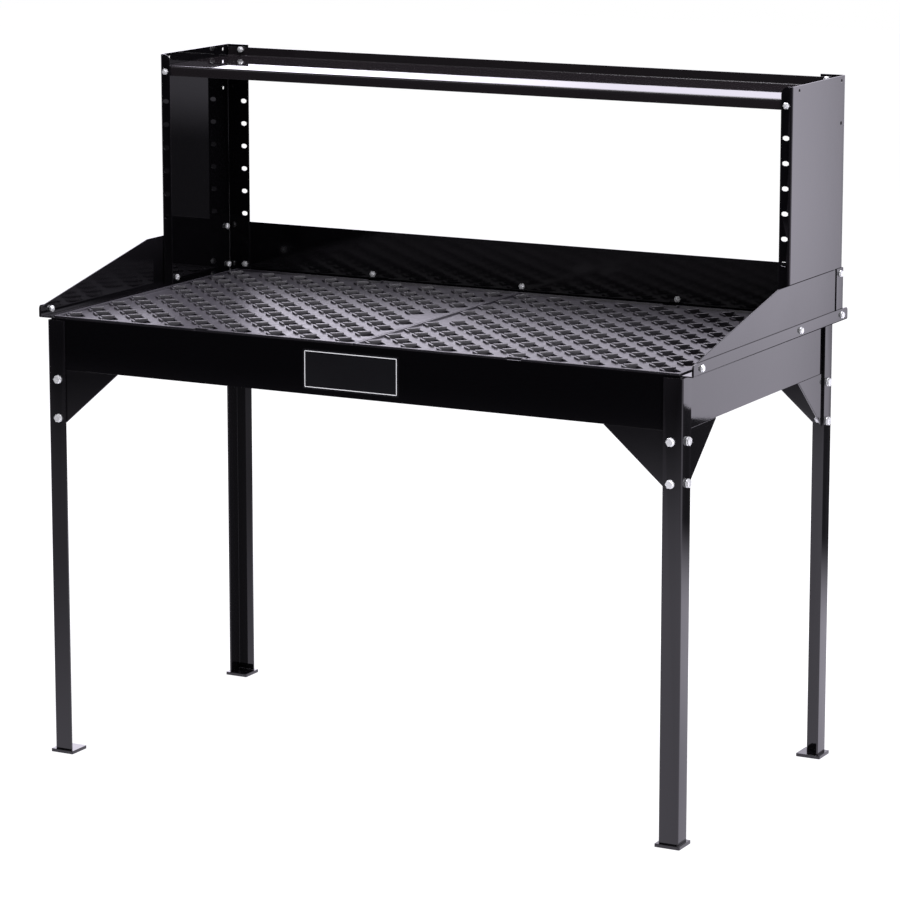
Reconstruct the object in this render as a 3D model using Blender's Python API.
"""A steel drip-tray workbench: four angle legs on foot plates, a folded sump tray with a rim,
two lift-out moulded drain gratings, sloping side guards, a back splash, and two slotted
C-section uprights that carry a top shelf. All of it is bolted together.

While it is modelled, Y is 0 at the front faces of the front legs and runs to the back, X is 0
at the middle and Z is 0 at the floor. One empty then centres the bench over the origin.
"""

import math

import bmesh
import bpy
from mathutils import Vector

MM = 0.001

# Clearance between pieces that touch
SEAT = 0.3 * MM
# How far a cutter runs past the piece it cuts
OVERRUN = 5 * MM

# Legs, of rolled steel angle
BENCH_WIDTH = 1219.2 * MM
BENCH_DEPTH = 630.3 * MM
LEG_FLANGE = 34 * MM
LEG_STEEL = 3.2 * MM
LEG_CORNER_RADIUS = 3.5 * MM

# Foot plates
FOOT_SIDE = 45.5 * MM
FOOT_OVERHANG = 5.6 * MM
FOOT_THICKNESS = 6 * MM
FOOT_CORNER_RADIUS = 2 * MM

# Sump tray, of folded sheet
SHEET = 1.9 * MM
TRAY_UNDERSIDE = 694.5 * MM
TRAY_DEEP = 91.1 * MM
TRAY_SIDE_PLAY = 1.4 * MM
TRAY_BEND_RADIUS = 3 * MM
LEDGE_REACH = 22.9 * MM
RIM_HIGH = 21.6 * MM
RIM_FRONT = 1.6 * MM
REAR_LEDGE_REACH = 10.8 * MM
RIM_EAR = 13.4 * MM
RIM_END_RADIUS = 6 * MM
LEG_TOP_DROP = 2.7 * MM
RIM_BEND_RADIUS = 2.4 * MM

# Gussets, cut from plate
GUSSET_PLATE = 3 * MM
GUSSET_REACH = 142 * MM
GUSSET_FOOT = 33.6 * MM
GUSSET_DROP = 94 * MM

# Side guards, flat sheet with a sloping front
GUARD_FRONT = 2 * MM
GUARD_NOSE = 25 * MM
GUARD_NOSE_HIGH = 21.7 * MM
GUARD_NOSE_FALL = 5 * MM
GUARD_LEVEL = 250 * MM
GUARD_HIGH = 91.6 * MM
GUARD_NOSE_RADIUS = 8 * MM
GUARD_TO_SPLASH = 7 * MM

# Back splash, folded to a wide channel
SPLASH_FLANGE = 31.4 * MM
SPLASH_BEND_RADIUS = 3 * MM

# Uprights, of C-section sheet
UPRIGHT_DEEP = 234.6 * MM
UPRIGHT_OVER_SHELF = 20.6 * MM
UPRIGHT_FRONT_FLANGE = 20.6 * MM
UPRIGHT_REAR_FLANGE = 46.1 * MM
UPRIGHT_BEND_RADIUS = 4 * MM
UPRIGHT_EAR_RADIUS = 12 * MM
SLOT_LONG = 13.2 * MM
SLOT_HIGH = 8 * MM
SLOT_PITCH = 42.6 * MM
SLOT_OVER_SPLASH = 12 * MM
FRONT_SLOT_INSET = 11.1 * MM
FRONT_SLOT_DROP = 86.1 * MM
REAR_SLOT_INSET = 35.5 * MM
REAR_SLOT_DROP = 106.1 * MM
PANEL_HOLE = 6.6 * MM
PANEL_HOLE_INSET = 18 * MM
PANEL_HOLE_DROP = 8.6 * MM
PANEL_HOLE_STEP = 73 * MM
PANEL_HOLE_FRONT_INSET = 29.4 * MM

# Top shelf, one folded sheet
SHELF_DECK_TOP = 1191.5 * MM
SHELF_LIP = 18.5 * MM
SHELF_UPSTAND = 16 * MM
SHELF_BEND_RADIUS = 3 * MM
SHELF_END_PLAY = 2.1 * MM

# Drain gratings, moulded lattices
GRATING_THICK = 25 * MM
GRATING_OVER_TRAY = 2.4 * MM
GRATING_SIDE_PLAY = 1.6 * MM
GRATING_FRONT_PLAY = 2 * MM
GRATING_SEAM = 1 * MM
LATTICE_STEP = 34 * MM
OPENING_DIAGONAL = 39 * MM
GRATING_BORDER = 8 * MM
NOTCH_WIDE = 28 * MM
NOTCH_DEEP = 9 * MM
GRATING_CORNER_RADIUS = 4 * MM

# Rest angles that carry the gratings inside the tray
REST_SHEET = 2 * MM
REST_LEG = 22 * MM
REST_BEND_RADIUS = 3 * MM
REST_END_PLAY = 4 * MM

# Fasteners: large ones on the legs, small ones on the sheet pieces
LARGE_SHANK = 8 * MM
LARGE_FLATS = 13 * MM
LARGE_HEAD = 5.3 * MM
LARGE_NUT = 5.5 * MM
LARGE_END = 1.5 * MM
SMALL_SHANK = 6 * MM
SMALL_FLATS = 10 * MM
SMALL_HEAD = 4 * MM
SMALL_NUT = 5 * MM
SMALL_END = 1 * MM
HOLE_PLAY = 1.4 * MM
LEG_BOLT_INSET = 20.3 * MM
LEG_BOLT_DROP = 17.5 * MM
LEG_BOLT_PITCH = 69 * MM
RIM_BOLT_RISE = 9.4 * MM
SPLASH_BOLT_RISE = 11.4 * MM
GUARD_BOLT_FRONT = 32 * MM
MIDDLE_BOLT_INSET = 41.4 * MM
SPLASH_FLANGE_BOLT_INSET = 9.7 * MM
SPLASH_TOP_BOLT_INSET = 14 * MM
SPLASH_TOP_BOLT_DROP = 9.5 * MM
SPLASH_BOLT_PITCH = 311 * MM
SPLASH_END_BOLT_INSET = 36.5 * MM
SHELF_FRONT_BOLT_INSET = 11 * MM
SHELF_FRONT_BOLT_DROP = 11 * MM
SHELF_REAR_BOLT_INSET = 32.5 * MM
SHELF_REAR_BOLT_DROP = 4.5 * MM

# Facets
BEND_STEPS = 3
HOLE_SIDES = 8
HEXAGON_SIDES = 6
SLOT_END_STEPS = 3
ROUND_PROFILE = 0.5
SMOOTH_DEGREES = 35

# Finishes: colour, roughness and metal share of each
BLACK_COAT = ((0.012, 0.012, 0.013), 0.22, 0)
MOULDED_PLASTIC = ((0.045, 0.043, 0.048), 0.4, 0)
ZINC_PLATE = ((0.62, 0.62, 0.6), 0.3, 1)

# Places worked out from the sizes above
HALF_WIDTH = BENCH_WIDTH / 2
LEG_INNER_X = HALF_WIDTH - LEG_STEEL
TRAY_HALF = LEG_INNER_X - TRAY_SIDE_PLAY
TRAY_FRONT = LEG_STEEL + SEAT
TRAY_REAR = BENCH_DEPTH - LEG_STEEL - SEAT
TRAY_TOP = TRAY_UNDERSIDE + TRAY_DEEP
TRAY_FLOOR = TRAY_UNDERSIDE + SHEET
TRAY_MIDDLE = TRAY_TOP - SHEET / 2
RIM_OUTER = TRAY_HALF + LEDGE_REACH
RIM_INNER = RIM_OUTER - SHEET
RIM_BOTTOM = TRAY_TOP - SHEET
RIM_TOP = RIM_BOTTOM + RIM_HIGH
REAR_RIM = TRAY_REAR + REAR_LEDGE_REACH
RIM_REAR = REAR_RIM + RIM_EAR
LEG_TOP = TRAY_TOP - SHEET - LEG_TOP_DROP
GUSSET_TOP = TRAY_UNDERSIDE - SEAT
GUARD_OUTER = RIM_INNER - SEAT
GUARD_INNER = GUARD_OUTER - SHEET
UPRIGHT_OUTER = GUARD_INNER - SEAT
UPRIGHT_INNER = UPRIGHT_OUTER - SHEET
ON_LEDGE = TRAY_TOP + SEAT
GUARD_TOP = ON_LEDGE + GUARD_HIGH
SPLASH_REAR = REAR_RIM - SHEET - SEAT
SPLASH_FRONT = SPLASH_REAR - SHEET
SPLASH_FLANGE_FRONT = SPLASH_REAR - SPLASH_FLANGE
GUARD_REAR = SPLASH_FLANGE_FRONT - GUARD_TO_SPLASH
GUARD_SHOULDER = GUARD_REAR - GUARD_LEVEL
UPRIGHT_REAR = SPLASH_FRONT - SEAT
UPRIGHT_FRONT = UPRIGHT_REAR - UPRIGHT_DEEP
UPRIGHT_TOP = SHELF_DECK_TOP + UPRIGHT_OVER_SHELF
GUARD_BOLT_MIDDLE = UPRIGHT_FRONT + MIDDLE_BOLT_INSET
SHELF_FRONT = UPRIGHT_FRONT + SHEET + SEAT
SHELF_REAR = UPRIGHT_REAR - SHEET - SEAT
SHELF_HALF = UPRIGHT_INNER - SHELF_END_PLAY
GRATING_TOP = TRAY_TOP + GRATING_OVER_TRAY
GRATING_UNDERSIDE = GRATING_TOP - GRATING_THICK
REST_TOP = GRATING_UNDERSIDE - SEAT
LEG_BOLT_UPPER = GUSSET_TOP - LEG_BOLT_DROP
LEG_BOLT_LOWER = LEG_BOLT_UPPER - LEG_BOLT_PITCH
RIM_BOLT_Z = TRAY_TOP + RIM_BOLT_RISE
SPLASH_BOLT_Z = TRAY_TOP + SPLASH_BOLT_RISE
FLANGE_BOLT_Y = UPRIGHT_REAR - SPLASH_FLANGE_BOLT_INSET
SPLASH_TOP_BOLT_Y = UPRIGHT_REAR - SPLASH_TOP_BOLT_INSET
SPLASH_TOP_BOLT_Z = GUARD_TOP - SPLASH_TOP_BOLT_DROP
SHELF_FRONT_BOLT_X = UPRIGHT_OUTER - SHELF_FRONT_BOLT_INSET
SHELF_REAR_BOLT_X = UPRIGHT_OUTER - SHELF_REAR_BOLT_INSET
SHELF_FRONT_BOLT_Z = SHELF_DECK_TOP - SHELF_FRONT_BOLT_DROP
SHELF_REAR_BOLT_Z = SHELF_DECK_TOP + SHELF_UPSTAND - SHELF_REAR_BOLT_DROP
CENTRE_Y = (RIM_REAR - max(FOOT_OVERHANG, LARGE_HEAD + SEAT)) / 2

SIDES = {"left": -1, "right": 1}
END_SIGN = {"front": 1, "rear": -1}


def clear_scene():
    """Removes what the scene holds."""
    for obj in list(bpy.data.objects):
        bpy.data.objects.remove(obj)


def material(name, colour, roughness, metallic):
    """A plain Principled material."""
    made = bpy.data.materials.new(name)
    made.use_nodes = True
    shader = made.node_tree.nodes["Principled BSDF"]
    shader.inputs["Base Color"].default_value = (*colour, 1)
    shader.inputs["Roughness"].default_value = roughness
    shader.inputs["Metallic"].default_value = metallic
    return made


def placed(axis, along, first, second):
    """The point `along` an axis, with the two other coordinates in X, Y, Z order."""
    if axis == "X":
        return Vector((along, first, second))
    if axis == "Y":
        return Vector((first, along, second))
    return Vector((first, second, along))


def add_prism(mesh, outline, axis, start, end):
    """Adds to a bmesh the closed prism of an outline between two places along an axis."""
    near = [mesh.verts.new(placed(axis, start, a, b)) for a, b in outline]
    far = [mesh.verts.new(placed(axis, end, a, b)) for a, b in outline]
    mesh.faces.new(near)
    mesh.faces.new(list(reversed(far)))
    count = len(outline)
    for i in range(count):
        j = (i + 1) % count
        mesh.faces.new((near[i], far[i], far[j], near[j]))


def finish(mesh, name, finish_material):
    """Turns a bmesh into a linked object whose faces point out."""
    bmesh.ops.recalc_face_normals(mesh, faces=mesh.faces[:])
    data = bpy.data.meshes.new(name)
    mesh.to_mesh(data)
    mesh.free()
    data.shade_smooth()
    data.set_sharp_from_angle(angle=math.radians(SMOOTH_DEGREES))
    obj = bpy.data.objects.new(name, data)
    bpy.context.scene.collection.objects.link(obj)
    obj.parent = BENCH
    if finish_material is not None:
        data.materials.append(finish_material)
    return obj


def prism_object(name, outline, axis, start, end, finish_material):
    mesh = bmesh.new()
    add_prism(mesh, outline, axis, start, end)
    return finish(mesh, name, finish_material)


def helper(mesh, name):
    """A hidden object that only a Boolean uses."""
    obj = finish(mesh, name, None)
    obj.hide_render = True
    obj.display_type = "WIRE"
    return obj


def boolean(target, other, operation):
    modifier = target.modifiers.new(operation.lower(), "BOOLEAN")
    modifier.operation = operation
    modifier.solver = "EXACT"
    modifier.object = other


def round_corner(before, corner, after, radius, steps):
    """The arc that rounds one corner of a path, as steps + 1 points."""
    back = (before - corner).normalized()
    on = (after - corner).normalized()
    half = back.angle(on) / 2
    centre = corner + (back + on).normalized() * (radius / math.sin(half))
    first = corner + back * (radius / math.tan(half)) - centre
    last = corner + on * (radius / math.tan(half)) - centre
    swing = first.angle_signed(last)
    turns = [swing * i / steps for i in range(steps + 1)]
    return [centre + turned(first, turn) for turn in turns]


def turned(arm, angle):
    """A 2D arm turned clockwise, the way angle_signed counts."""
    sine = math.sin(angle)
    cosine = math.cos(angle)
    return Vector((arm.x * cosine + arm.y * sine, arm.y * cosine - arm.x * sine))


def rounded(points, radii, steps=BEND_STEPS):
    """A closed outline whose corners with a radius become arcs."""
    corners = [Vector(p) for p in points]
    outline = []
    for i, corner in enumerate(corners):
        if not radii[i]:
            outline.append(corner)
            continue
        after = corners[(i + 1) % len(corners)]
        outline.extend(round_corner(corners[i - 1], corner, after, radii[i], steps))
    return outline


def folded(points, sheet, bend_radius, steps=BEND_STEPS):
    """The outline of a folded sheet. The points run along one face, the sheet lies to its right,
    and bend_radius is the radius outside each bend."""
    face = [Vector(p) for p in points]
    runs = [(b - a).normalized() for a, b in zip(face, face[1:])]
    rights = [Vector((run.y, -run.x)) for run in runs]
    other = [face[0] + rights[0] * sheet]
    for i in range(1, len(runs)):
        across = rights[i - 1] + rights[i]
        other.append(face[i] + across * (sheet / across.dot(rights[i])))
    other.append(face[-1] + rights[-1] * sheet)
    near = [face[0]]
    far = [other[0]]
    for i in range(1, len(runs)):
        to_right = runs[i - 1].cross(runs[i]) < 0
        near_radius = bend_radius if to_right else bend_radius - sheet
        far_radius = bend_radius - sheet if to_right else bend_radius
        near.extend(round_corner(face[i - 1], face[i], face[i + 1], near_radius, steps))
        far.extend(round_corner(other[i - 1], other[i], other[i + 1], far_radius, steps))
    near.append(face[-1])
    far.append(other[-1])
    return near + far[::-1]


def circle(centre, diameter):
    """A bore's outline, with flats on the stated diameter."""
    reach = diameter / 2 / math.cos(math.pi / HOLE_SIDES)
    angles = [2 * math.pi * (i + 0.5) / HOLE_SIDES for i in range(HOLE_SIDES)]
    return [(centre[0] + reach * math.cos(a), centre[1] + reach * math.sin(a)) for a in angles]


def slot(centre, long, high):
    """An obround that lies level."""
    radius = high / 2
    reach = long / 2 - radius
    turns = [math.pi * i / SLOT_END_STEPS for i in range(SLOT_END_STEPS + 1)]
    x, z = centre
    one = [(x + reach + radius * math.sin(a), z - radius * math.cos(a)) for a in turns]
    other = [(x - reach - radius * math.sin(a), z + radius * math.cos(a)) for a in turns]
    return one + other


def cut(target, shapes):
    """Cuts prisms out of a piece, each given as (outline, axis, start, end)."""
    mesh = bmesh.new()
    for outline, axis, start, end in shapes:
        add_prism(mesh, outline, axis, start, end)
    boolean(target, helper(mesh, target.name + "_cutter"), "DIFFERENCE")


def box(first, second):
    """The outline of a rectangle between two opposite corners."""
    return [first, (second[0], first[1]), second, (first[0], second[1])]


def bolt(name, axis, heading, under_head, grip, centre, large):
    """One bolt with its nut. The head lies before under_head, seen along heading (1 or -1)."""
    flats = LARGE_FLATS if large else SMALL_FLATS
    shank = LARGE_SHANK if large else SMALL_SHANK
    head = LARGE_HEAD if large else SMALL_HEAD
    nut = LARGE_NUT if large else SMALL_NUT
    end = LARGE_END if large else SMALL_END
    across = flats / 2 / math.cos(math.pi / HEXAGON_SIDES)
    start = under_head - heading * SEAT
    nut_face = under_head + heading * (grip + SEAT)
    nut_back = nut_face + heading * nut
    rings = (
        (start - heading * head, across),
        (start, across),
        (start, shank / 2),
        (nut_face, shank / 2),
        (nut_face, across),
        (nut_back, across),
        (nut_back, shank / 2),
        (nut_back + heading * end, shank / 2),
    )
    mesh = bmesh.new()
    loops = []
    for along, radius in rings:
        loop = []
        for i in range(HEXAGON_SIDES):
            angle = 2 * math.pi * (i + 0.5) / HEXAGON_SIDES
            first = centre[0] + radius * math.cos(angle)
            second = centre[1] + radius * math.sin(angle)
            loop.append(mesh.verts.new(placed(axis, along, first, second)))
        loops.append(loop)
    for near, far in zip(loops, loops[1:]):
        for i in range(HEXAGON_SIDES):
            j = (i + 1) % HEXAGON_SIDES
            mesh.faces.new((near[i], far[i], far[j], near[j]))
    mesh.faces.new(loops[0])
    mesh.faces.new(list(reversed(loops[-1])))
    return finish(mesh, name, ZINC)


def bore(axis, centre, start, end, large=False):
    """The cut for one bolt."""
    shank = LARGE_SHANK if large else SMALL_SHANK
    return (circle(centre, shank + HOLE_PLAY), axis, start, end)


def from_end(end, distance):
    """Y at a distance from the front legs' faces, or from the rear legs' faces."""
    return distance if end == "front" else BENCH_DEPTH - distance


def span(end, near, far):
    """Two places along Y, measured from one end, in rising order."""
    return sorted((from_end(end, near), from_end(end, far)))


def handed(path, turn):
    """A path, turned round where the sheet would otherwise lie on its other side."""
    return path[::-1] if turn > 0 else path


clear_scene()
BENCH = bpy.data.objects.new("bench_centre", None)
bpy.context.scene.collection.objects.link(BENCH)
BENCH.location = (0, -CENTRE_Y, 0)
BLACK = material("black_powder_coat", *BLACK_COAT)
MOULDED = material("moulded_black_plastic", *MOULDED_PLASTIC)
ZINC = material("zinc_plated_steel", *ZINC_PLATE)


# Legs: a rolled angle at each corner, drilled twice in each flange for its gussets
def make_leg(side_name, side, end):
    outer_x = side * HALF_WIDTH
    inward_x = side * (HALF_WIDTH - LEG_FLANGE)
    face_y = from_end(end, 0)
    path = [(inward_x, face_y), (outer_x, face_y), (outer_x, from_end(end, LEG_FLANGE))]
    outline = folded(handed(path, side * END_SIGN[end]), LEG_STEEL, LEG_CORNER_RADIUS)
    bottom = FOOT_THICKNESS + SEAT
    leg = prism_object(f"leg_{end}_{side_name}", outline, "Z", bottom, LEG_TOP, BLACK)
    bolt_x = side * (HALF_WIDTH - LEG_BOLT_INSET)
    bolt_y = from_end(end, LEG_BOLT_INSET)
    through_front = span(end, -OVERRUN, LEG_STEEL + OVERRUN)
    through_side = (side * (HALF_WIDTH + OVERRUN), side * (LEG_INNER_X - OVERRUN))
    bores = []
    for z in (LEG_BOLT_UPPER, LEG_BOLT_LOWER):
        bores.append(bore("Y", (bolt_x, z), *through_front, large=True))
        bores.append(bore("X", (bolt_y, z), *through_side, large=True))
    cut(leg, bores)


# Foot plates: a square pad under each leg, with rounded corners
def make_foot_plate(side_name, side, end):
    outer = side * (HALF_WIDTH + FOOT_OVERHANG)
    near = from_end(end, -FOOT_OVERHANG)
    far = from_end(end, FOOT_SIDE - FOOT_OVERHANG)
    corners = box((outer, near), (outer - side * FOOT_SIDE, far))
    outline = rounded(corners, [FOOT_CORNER_RADIUS] * len(corners))
    prism_object(f"foot_plate_{end}_{side_name}", outline, "Z", 0, FOOT_THICKNESS, BLACK)


# Gussets: a plate behind each leg flange, reaching in under the tray
def gusset_outline(outer, toe, tip):
    bottom = GUSSET_TOP - GUSSET_DROP
    return [(outer, GUSSET_TOP), (outer, bottom), (toe, bottom), (tip, GUSSET_TOP)]


def make_gussets(side_name, side, end):
    outer = side * (LEG_INNER_X - SEAT)
    toe = side * (HALF_WIDTH - GUSSET_FOOT)
    tip = side * (HALF_WIDTH - GUSSET_REACH)
    back = LEG_STEEL + SEAT + GUSSET_PLATE
    across = prism_object(
        f"gusset_{end}_{side_name}",
        gusset_outline(outer, toe, tip),
        "Y",
        from_end(end, LEG_STEEL + SEAT),
        from_end(end, back),
        BLACK,
    )
    bolt_x = side * (HALF_WIDTH - LEG_BOLT_INSET)
    levels = (LEG_BOLT_UPPER, LEG_BOLT_LOWER)
    through = span(end, -OVERRUN, back + OVERRUN)
    cut(across, [bore("Y", (bolt_x, z), *through, large=True) for z in levels])

    inner = outer - side * GUSSET_PLATE
    along = prism_object(
        f"gusset_side_{end}_{side_name}",
        gusset_outline(
            from_end(end, back + SEAT),
            from_end(end, GUSSET_FOOT),
            from_end(end, GUSSET_REACH),
        ),
        "X",
        outer,
        inner,
        BLACK,
    )
    bolt_y = from_end(end, LEG_BOLT_INSET)
    through = (outer + side * OVERRUN, inner - side * OVERRUN)
    cut(along, [bore("X", (bolt_y, z), *through, large=True) for z in levels])


# Leg bolts: two through each flange and the gusset behind it, nuts on the inside
def make_leg_bolts(side_name, side, end):
    grip = LEG_STEEL + SEAT + GUSSET_PLATE
    bolt_x = side * (HALF_WIDTH - LEG_BOLT_INSET)
    bolt_y = from_end(end, LEG_BOLT_INSET)
    for level, z in (("upper", LEG_BOLT_UPPER), ("lower", LEG_BOLT_LOWER)):
        stem = f"leg_bolt_{end}_{side_name}"
        heading = END_SIGN[end]
        bolt(f"{stem}_face_{level}", "Y", heading, from_end(end, 0), grip, (bolt_x, z), True)
        bolt(f"{stem}_side_{level}", "X", -side, side * HALF_WIDTH, grip, (bolt_y, z), True)


# Sump tray: a deep folded pan whose sides and back turn out to a ledge and up to a rim
def pan(half, front, rear, bottom, top, radius):
    """A block with rounded edges below and at its upright corners."""
    mesh = bmesh.new()
    add_prism(mesh, box((-half, front), (half, rear)), "Z", bottom, top)
    bmesh.ops.recalc_face_normals(mesh, faces=mesh.faces[:])
    lowest = min(v.co.z for v in mesh.verts)
    bends = [edge for edge in mesh.edges if min(v.co.z for v in edge.verts) == lowest]
    bmesh.ops.bevel(
        mesh,
        geom=bends,
        offset=radius,
        segments=BEND_STEPS,
        profile=ROUND_PROFILE,
        affect="EDGES",
    )
    return mesh


def corner_outside(corner, first_way, second_way, radius):
    """What lies outside the rounding of a plate's corner. The ways point into the plate."""
    a = Vector(corner) + Vector((first_way * radius, 0))
    b = Vector(corner) + Vector((0, second_way * radius))
    arc = round_corner(a, Vector(corner), b, radius, BEND_STEPS)
    out = Vector(corner) - Vector((first_way * OVERRUN, second_way * OVERRUN))
    return [*arc, Vector((out.x, arc[-1].y)), out, Vector((arc[0].x, out.y))]


def make_sump_tray():
    tray_block = pan(
        TRAY_HALF, TRAY_FRONT, TRAY_REAR, TRAY_UNDERSIDE, TRAY_MIDDLE, TRAY_BEND_RADIUS
    )
    tray = finish(tray_block, "sump_tray", BLACK)
    # Ledge and rim, as one block that the cuts below open up
    corners = box((-RIM_OUTER, RIM_BOTTOM), (RIM_OUTER, RIM_TOP))
    rim_block = rounded(corners, [RIM_BEND_RADIUS, RIM_BEND_RADIUS, 0, 0])
    mesh = bmesh.new()
    add_prism(mesh, rim_block, "Y", RIM_FRONT, RIM_REAR)
    boolean(tray, helper(mesh, "sump_tray_rim"), "UNION")
    inside = pan(
        TRAY_HALF - SHEET,
        TRAY_FRONT + SHEET,
        TRAY_REAR - SHEET,
        TRAY_FLOOR,
        RIM_TOP + OVERRUN,
        TRAY_BEND_RADIUS - SHEET,
    )
    boolean(tray, helper(inside, "sump_tray_inside"), "DIFFERENCE")
    high = RIM_TOP + 2 * OVERRUN
    low = RIM_BOTTOM - OVERRUN
    above_ledge = box((-RIM_INNER, TRAY_TOP), (RIM_INNER, high))
    cut(tray, [(above_ledge, "Y", RIM_FRONT - OVERRUN, REAR_RIM - SHEET)])
    before_ledge = box((RIM_FRONT - OVERRUN, low), (TRAY_FRONT, high))
    cut(tray, [(before_ledge, "X", -RIM_INNER, RIM_INNER)])
    bend = round_corner(
        Vector((REAR_RIM - OVERRUN, RIM_BOTTOM)),
        Vector((REAR_RIM, RIM_BOTTOM)),
        Vector((REAR_RIM, RIM_TOP)),
        RIM_BEND_RADIUS,
        BEND_STEPS,
    )
    behind = [
        *bend,
        (REAR_RIM, high),
        (RIM_REAR + OVERRUN, high),
        (RIM_REAR + OVERRUN, low),
        (bend[0].x, low),
    ]
    cut(tray, [(behind, "X", -RIM_INNER, RIM_INNER)])
    shapes = []
    for side in SIDES.values():
        through = (side * (RIM_OUTER + OVERRUN), side * (RIM_INNER - OVERRUN))
        for end_y, way in ((RIM_FRONT, 1), (RIM_REAR, -1)):
            spare = corner_outside((end_y, RIM_TOP), way, -1, RIM_END_RADIUS)
            shapes.append((spare, "X", *through))
        for y in (GUARD_BOLT_FRONT, GUARD_BOLT_MIDDLE, FLANGE_BOLT_Y):
            shapes.append(bore("X", (y, RIM_BOLT_Z), *through))
    for x in splash_bolt_places():
        shapes.append(bore("Y", (x, SPLASH_BOLT_Z), SPLASH_REAR, REAR_RIM + OVERRUN))
    cut(tray, shapes)


def splash_bolt_places():
    ends = UPRIGHT_OUTER - SPLASH_END_BOLT_INSET
    return (-ends, -SPLASH_BOLT_PITCH, 0, SPLASH_BOLT_PITCH, ends)


# Rest angles: the folded angles that carry the gratings along the front and back walls
def make_grating_rest(end):
    wall = LEG_STEEL + SEAT + SHEET + SEAT
    path = [
        (from_end(end, wall), REST_TOP - REST_LEG),
        (from_end(end, wall), REST_TOP),
        (from_end(end, wall + REST_LEG), REST_TOP),
    ]
    outline = folded(handed(path, -END_SIGN[end]), REST_SHEET, REST_BEND_RADIUS)
    reach = TRAY_HALF - SHEET - REST_END_PLAY
    prism_object(f"grating_rest_{end}", outline, "X", -reach, reach, BLACK)


# Drain gratings: moulded lattices with staggered openings and a finger notch front and back
def make_drain_grating(side_name, side):
    inner = GRATING_SEAM / 2
    outer = TRAY_HALF - SHEET - GRATING_SIDE_PLAY
    front = TRAY_FRONT + SHEET + GRATING_FRONT_PLAY
    rear = TRAY_REAR - SHEET - GRATING_FRONT_PLAY
    corners = box((side * inner, front), (side * outer, rear))
    outline = rounded(corners, [GRATING_CORNER_RADIUS] * len(corners))
    grating = prism_object(
        f"drain_grating_{side_name}", outline, "Z", GRATING_UNDERSIDE, GRATING_TOP, MOULDED
    )
    middle = Vector((side * (inner + outer) / 2, (front + rear) / 2))
    columns = lattice_half_count(outer - inner)
    rows = lattice_half_count(rear - front)
    through = (GRATING_UNDERSIDE - OVERRUN, GRATING_TOP + OVERRUN)
    shapes = []
    for column in range(-columns, columns + 1):
        for row in range(-rows, rows + 1):
            plain = abs(column) == columns and row == 0
            if (column + row) % 2 == 0 and not plain:
                centre = middle + Vector((column, row)) * LATTICE_STEP
                shapes.append((opening(centre), "Z", *through))
    cut(grating, shapes)
    notches = []
    for edge, way in ((front, 1), (rear, -1)):
        half = Vector((NOTCH_WIDE / 2, 0))
        corner = Vector((middle.x, edge)) - Vector((0, way * OVERRUN))
        deep = Vector((middle.x, edge)) + Vector((0, way * NOTCH_DEEP))
        notches.append((box(tuple(corner - half), tuple(deep + half)), "Z", *through))
    cut(grating, notches)


def lattice_half_count(length):
    """How many lattice steps fit between the middle and the plain border."""
    room = length / 2 - GRATING_BORDER - OPENING_DIAGONAL / 2
    return math.floor(room / LATTICE_STEP)


def opening(centre):
    """One opening of a grating: a square stood on its corner."""
    half = OPENING_DIAGONAL / 2
    return [
        (centre.x + half, centre.y),
        (centre.x, centre.y + half),
        (centre.x - half, centre.y),
        (centre.x, centre.y - half),
    ]


# Side guards: flat plates inside the rim, low at the front and rising to the back
def make_side_guard(side_name, side):
    corners = [
        (GUARD_FRONT, ON_LEDGE),
        (GUARD_REAR, ON_LEDGE),
        (GUARD_REAR, GUARD_TOP),
        (GUARD_SHOULDER, GUARD_TOP),
        (GUARD_NOSE, ON_LEDGE + GUARD_NOSE_HIGH),
        (GUARD_FRONT, ON_LEDGE + GUARD_NOSE_HIGH - GUARD_NOSE_FALL),
    ]
    outline = rounded(corners, [0, 0, 0, 0, 0, GUARD_NOSE_RADIUS])
    guard = prism_object(
        f"side_guard_{side_name}", outline, "X", side * GUARD_INNER, side * GUARD_OUTER, BLACK
    )
    through = (side * (GUARD_OUTER + OVERRUN), side * (GUARD_INNER - OVERRUN))
    places = (GUARD_BOLT_FRONT, GUARD_BOLT_MIDDLE)
    cut(guard, [bore("X", (y, RIM_BOLT_Z), *through) for y in places])


# Back splash: one wide panel whose ends fold forward outside the uprights
def make_back_splash():
    path = [
        (-GUARD_OUTER, SPLASH_FLANGE_FRONT),
        (-GUARD_OUTER, SPLASH_REAR),
        (GUARD_OUTER, SPLASH_REAR),
        (GUARD_OUTER, SPLASH_FLANGE_FRONT),
    ]
    outline = folded(path, SHEET, SPLASH_BEND_RADIUS)
    splash = prism_object("back_splash", outline, "Z", ON_LEDGE, GUARD_TOP, BLACK)
    shapes = []
    for side in SIDES.values():
        through = (side * (GUARD_OUTER + OVERRUN), side * (GUARD_INNER - OVERRUN))
        shapes.append(bore("X", (FLANGE_BOLT_Y, RIM_BOLT_Z), *through))
        shapes.append(bore("X", (SPLASH_TOP_BOLT_Y, SPLASH_TOP_BOLT_Z), *through))
    for x in splash_bolt_places():
        through = (SPLASH_FRONT - OVERRUN, SPLASH_REAR + OVERRUN)
        shapes.append(bore("Y", (x, SPLASH_BOLT_Z), *through))
    cut(splash, shapes)


# Uprights: C sections with a slotted narrow flange in front and a slotted wide one behind
def slot_levels(top):
    """The heights of a column of slots, from the top one down to just over the splash."""
    pitches = math.floor((top - GUARD_TOP - SLOT_OVER_SPLASH) / SLOT_PITCH)
    return [top - SLOT_PITCH * number for number in range(pitches + 1)]


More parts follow.
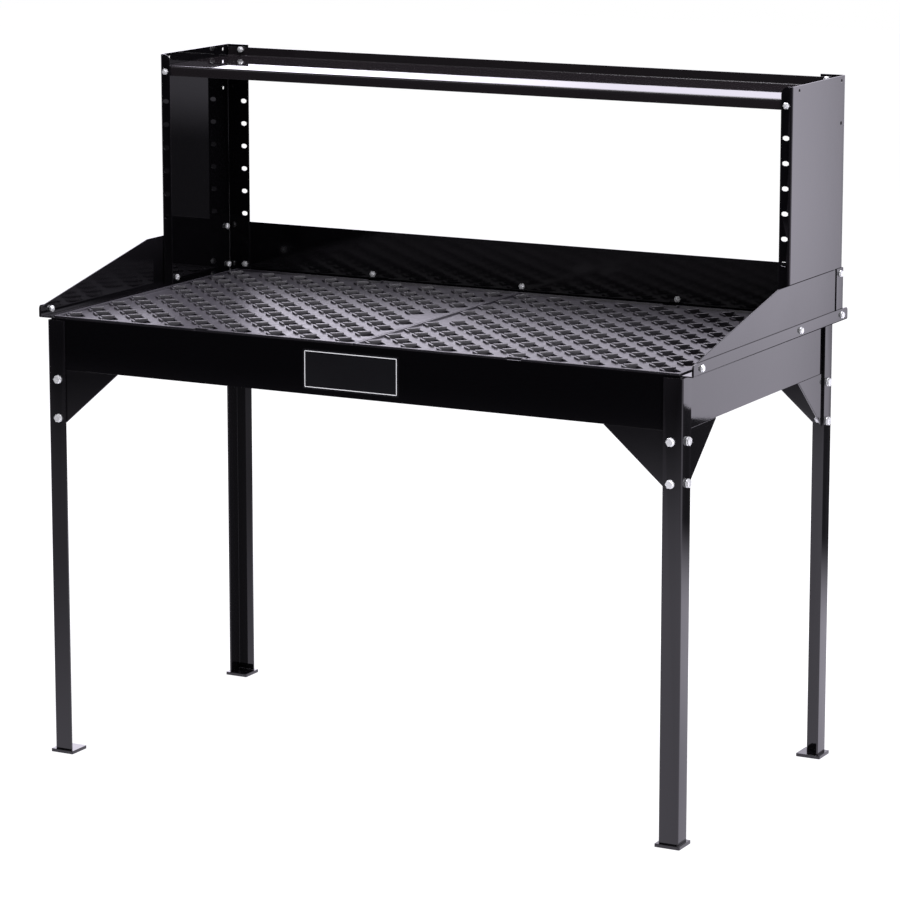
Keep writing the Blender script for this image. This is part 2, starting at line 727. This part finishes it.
def make_upright(side_name, side):
    front_end = UPRIGHT_OUTER - UPRIGHT_FRONT_FLANGE
    path = [
        (side * front_end, UPRIGHT_FRONT),
        (side * UPRIGHT_OUTER, UPRIGHT_FRONT),
        (side * UPRIGHT_OUTER, UPRIGHT_REAR),
        (side * (UPRIGHT_OUTER - UPRIGHT_REAR_FLANGE), UPRIGHT_REAR),
    ]
    outline = folded(handed(path, side), SHEET, UPRIGHT_BEND_RADIUS)
    upright = prism_object(f"upright_{side_name}", outline, "Z", ON_LEDGE, UPRIGHT_TOP, BLACK)
    front = (UPRIGHT_FRONT - OVERRUN, UPRIGHT_FRONT + SHEET + OVERRUN)
    rear = (UPRIGHT_REAR - SHEET - OVERRUN, UPRIGHT_REAR + OVERRUN)
    panel = (side * (UPRIGHT_OUTER + OVERRUN), side * (UPRIGHT_INNER - OVERRUN))
    ear = corner_outside((side * front_end, UPRIGHT_TOP), side, -1, UPRIGHT_EAR_RADIUS)
    shapes = [(ear, "Y", *front)]
    for through, inset, drop in (
        (front, FRONT_SLOT_INSET, FRONT_SLOT_DROP),
        (rear, REAR_SLOT_INSET, REAR_SLOT_DROP),
    ):
        x = side * (UPRIGHT_OUTER - inset)
        for z in slot_levels(UPRIGHT_TOP - drop):
            shapes.append((slot((x, z), SLOT_LONG, SLOT_HIGH), "Y", *through))
    hole_top = UPRIGHT_TOP - PANEL_HOLE_DROP
    hole_rear = UPRIGHT_REAR - PANEL_HOLE_INSET
    for place in (
        (UPRIGHT_FRONT + PANEL_HOLE_FRONT_INSET, hole_top),
        (hole_rear, hole_top),
        (hole_rear, hole_top - PANEL_HOLE_STEP),
    ):
        shapes.append((circle(place, PANEL_HOLE), "X", *panel))
    for y, z in (
        (GUARD_BOLT_MIDDLE, RIM_BOLT_Z),
        (FLANGE_BOLT_Y, RIM_BOLT_Z),
        (SPLASH_TOP_BOLT_Y, SPLASH_TOP_BOLT_Z),
    ):
        shapes.append(bore("X", (y, z), *panel))
    splash_x = side * (UPRIGHT_OUTER - SPLASH_END_BOLT_INSET)
    shapes.append(bore("Y", (splash_x, SPLASH_BOLT_Z), *rear))
    shapes.append(bore("Y", (side * SHELF_FRONT_BOLT_X, SHELF_FRONT_BOLT_Z), *front))
    shapes.append(bore("Y", (side * SHELF_REAR_BOLT_X, SHELF_REAR_BOLT_Z), *rear))
    cut(upright, shapes)


# Top shelf: one sheet with a lip down in front and an upstand behind
def make_top_shelf():
    path = [
        (SHELF_FRONT, SHELF_DECK_TOP - SHELF_LIP),
        (SHELF_FRONT, SHELF_DECK_TOP),
        (SHELF_REAR - SHEET, SHELF_DECK_TOP),
        (SHELF_REAR - SHEET, SHELF_DECK_TOP + SHELF_UPSTAND),
    ]
    outline = folded(path, SHEET, SHELF_BEND_RADIUS)
    shelf = prism_object("top_shelf", outline, "X", -SHELF_HALF, SHELF_HALF, BLACK)
    front = (SHELF_FRONT - OVERRUN, SHELF_FRONT + SHEET + OVERRUN)
    rear = (SHELF_REAR - SHEET - OVERRUN, SHELF_REAR + OVERRUN)
    shapes = []
    for side in SIDES.values():
        shapes.append(bore("Y", (side * SHELF_FRONT_BOLT_X, SHELF_FRONT_BOLT_Z), *front))
        shapes.append(bore("Y", (side * SHELF_REAR_BOLT_X, SHELF_REAR_BOLT_Z), *rear))
    cut(shelf, shapes)


# Small bolts: rim, guards, splash, uprights and shelf
def make_side_bolts(side_name, side):
    two_sheets = 2 * SHEET + SEAT
    three_sheets = 3 * SHEET + 2 * SEAT
    rim = side * RIM_OUTER
    low = RIM_BOLT_Z
    bolt(f"guard_bolt_front_{side_name}", "X", -side, rim, two_sheets, (GUARD_BOLT_FRONT, low), False)
    middle = (GUARD_BOLT_MIDDLE, low)
    bolt(f"guard_bolt_middle_{side_name}", "X", -side, rim, three_sheets, middle, False)
    rear = (FLANGE_BOLT_Y, low)
    bolt(f"rim_bolt_rear_{side_name}", "X", -side, rim, three_sheets, rear, False)
    flange = side * GUARD_OUTER
    top = (SPLASH_TOP_BOLT_Y, SPLASH_TOP_BOLT_Z)
    bolt(f"splash_flange_bolt_{side_name}", "X", -side, flange, two_sheets, top, False)
    front = (side * SHELF_FRONT_BOLT_X, SHELF_FRONT_BOLT_Z)
    bolt(f"shelf_bolt_front_{side_name}", "Y", 1, UPRIGHT_FRONT, two_sheets, front, False)
    back = (side * SHELF_REAR_BOLT_X, SHELF_REAR_BOLT_Z)
    bolt(f"shelf_bolt_rear_{side_name}", "Y", -1, UPRIGHT_REAR, two_sheets, back, False)


def make_splash_bolts():
    places = splash_bolt_places()
    for number, x in enumerate(places, start=1):
        through_upright = number in (1, len(places))
        sheets = 3 if through_upright else 2
        grip = sheets * SHEET + (sheets - 1) * SEAT
        bolt(f"splash_bolt_{number}", "Y", -1, REAR_RIM, grip, (x, SPLASH_BOLT_Z), False)


for side_word, side_sign in SIDES.items():
    for end_word in END_SIGN:
        make_leg(side_word, side_sign, end_word)
        make_foot_plate(side_word, side_sign, end_word)
        make_gussets(side_word, side_sign, end_word)
        make_leg_bolts(side_word, side_sign, end_word)
    make_drain_grating(side_word, side_sign)
    make_side_guard(side_word, side_sign)
    make_upright(side_word, side_sign)
    make_side_bolts(side_word, side_sign)
for end_word in END_SIGN:
    make_grating_rest(end_word)
make_sump_tray()
make_back_splash()
make_top_shelf()
make_splash_bolts()
